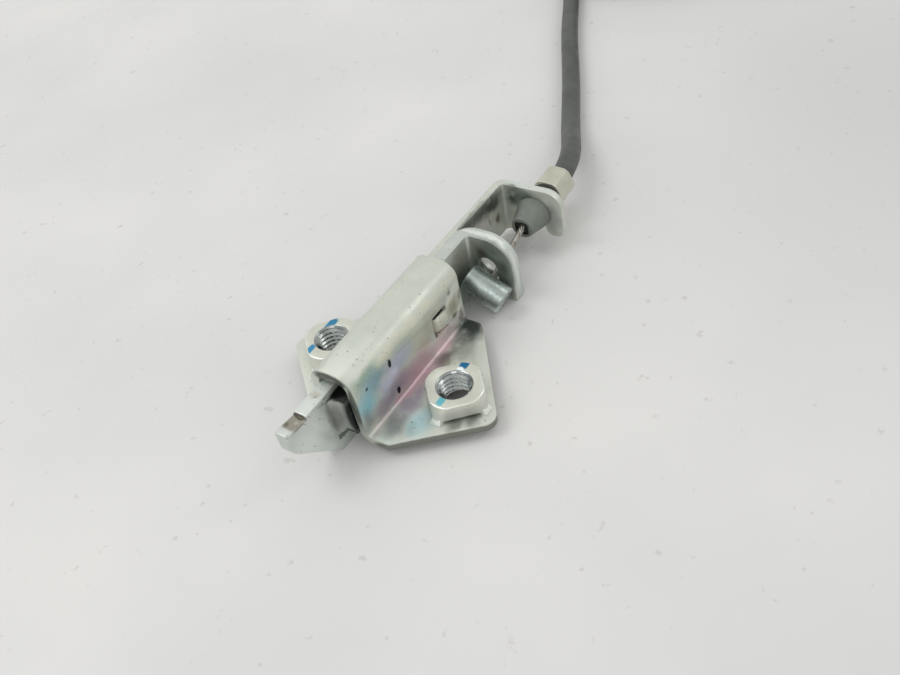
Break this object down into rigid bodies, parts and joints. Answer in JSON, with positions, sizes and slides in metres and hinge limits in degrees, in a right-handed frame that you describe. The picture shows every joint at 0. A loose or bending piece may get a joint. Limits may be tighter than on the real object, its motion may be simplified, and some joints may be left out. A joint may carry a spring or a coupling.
{
  "type": "seat latch",
  "caption": "Sprung slam latch for a motorcycle seat: a ramped steel plate sliding in a stamped channel with two weld nut wings, pulled open by a conduit cable",
  "frame": {"origin": "midway between the axes of the two weld nuts, on the underside of the flanges", "axes": "+X along the slide from the nose to the cable, +Y to the side of the long arm, +Z from the mounting face to the channel"},
  "size_m": [0.2464, 0.0813, 0.0172],
  "materials": {
    "zinc_sheet": "iridescent zinc plate",
    "latch_steel": "zinc plate, worn nose",
    "spring_steel": "bright",
    "nut_steel": "zinc plate with paint marks",
    "nipple_zinc": "cast, dull",
    "wire_steel": "twisted strands",
    "cone_steel": "dull plate",
    "ring_rubber": "matt",
    "ferrule_steel": "bright plate",
    "conduit_plastic": "satin black",
    "tie_plastic": "satin black"
  },
  "bodies": {
    "lock_body": {"housing": "zinc_sheet", "latch_spring": "spring_steel", "left_weld_nut": "nut_steel", "right_weld_nut": "nut_steel", "inner_wire": "wire_steel", "conduit_nose_cone": "cone_steel", "sealing_ring": "ring_rubber", "hex_ferrule": "ferrule_steel", "conduit": "conduit_plastic", "conduit_coil": "conduit_plastic", "coil_tie": "tie_plastic", "far_ferrule": "ferrule_steel", "far_wire": "wire_steel", "far_nipple": "nipple_zinc"},
    "latch_body": {"latch": "latch_steel", "barrel_nipple": "nipple_zinc"}
  },
  "joints": [
    {"name": "latch_slide", "type": "slide", "parent": "lock_body", "child": "latch_body", "axis": [1, 0, 0], "range_m": [0, 0.008], "stiffness_N_per_m": 900, "springref_m": -0.006, "deforming": ["latch_spring", "inner_wire"]}
  ]
}
